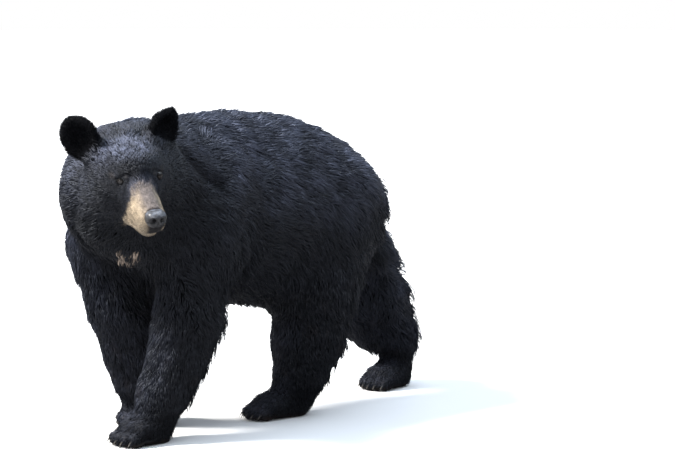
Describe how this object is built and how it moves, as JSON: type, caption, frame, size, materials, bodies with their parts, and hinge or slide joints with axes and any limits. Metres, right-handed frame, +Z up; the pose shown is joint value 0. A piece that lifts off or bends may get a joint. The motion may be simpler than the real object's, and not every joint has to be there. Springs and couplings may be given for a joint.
{
  "type": "black bear",
  "caption": "Life-size black bear walking on all fours with its head turned to its left, a still museum figure that stands on its four paws.",
  "frame": {"origin": "middle of the figure's box, on the floor under the paws", "axes": "+Z up, -Y the way the body faces, +X the animal's left"},
  "size_m": [0.5808, 1.4532, 0.8385],
  "materials": {
    "coat": "short glossy black fur, blue-grey where light catches it",
    "muzzle_coat": "very short tan fur",
    "nose_skin": "bare pebbled skin, moist",
    "eye": "wet brown eye",
    "claw_horn": "smooth dark horn"
  },
  "bodies": {
    "root": {"claw_fore_left_1": "claw_horn", "claw_fore_left_2": "claw_horn", "claw_fore_left_3": "claw_horn", "claw_fore_left_4": "claw_horn", "claw_fore_left_5": "claw_horn", "claw_fore_right_1": "claw_horn", "claw_fore_right_2": "claw_horn", "claw_fore_right_3": "claw_horn", "claw_fore_right_4": "claw_horn", "claw_fore_right_5": "claw_horn", "claw_hind_left_1": "claw_horn", "claw_hind_left_2": "claw_horn", "claw_hind_left_3": "claw_horn", "claw_hind_left_4": "claw_horn", "claw_hind_left_5": "claw_horn", "claw_hind_right_1": "claw_horn", "claw_hind_right_2": "claw_horn", "claw_hind_right_3": "claw_horn", "claw_hind_right_4": "claw_horn", "claw_hind_right_5": "claw_horn", "ear_left": "coat", "ear_right": "coat", "eye_left": "eye", "eye_right": "eye", "foreleg_left": "coat", "foreleg_right": "coat", "head": "coat", "jaw": "coat", "muzzle": "muzzle_coat", "neck": "coat", "nose": "nose_skin", "paw_fore_left": "coat", "paw_fore_right": "coat", "paw_hind_left": "coat", "paw_hind_right": "coat", "shank_left": "coat", "shank_right": "coat", "shoulder_left": "coat", "shoulder_right": "coat", "tail": "coat", "thigh_left": "coat", "thigh_right": "coat", "torso": "coat"}
  },
  "joints": []
}
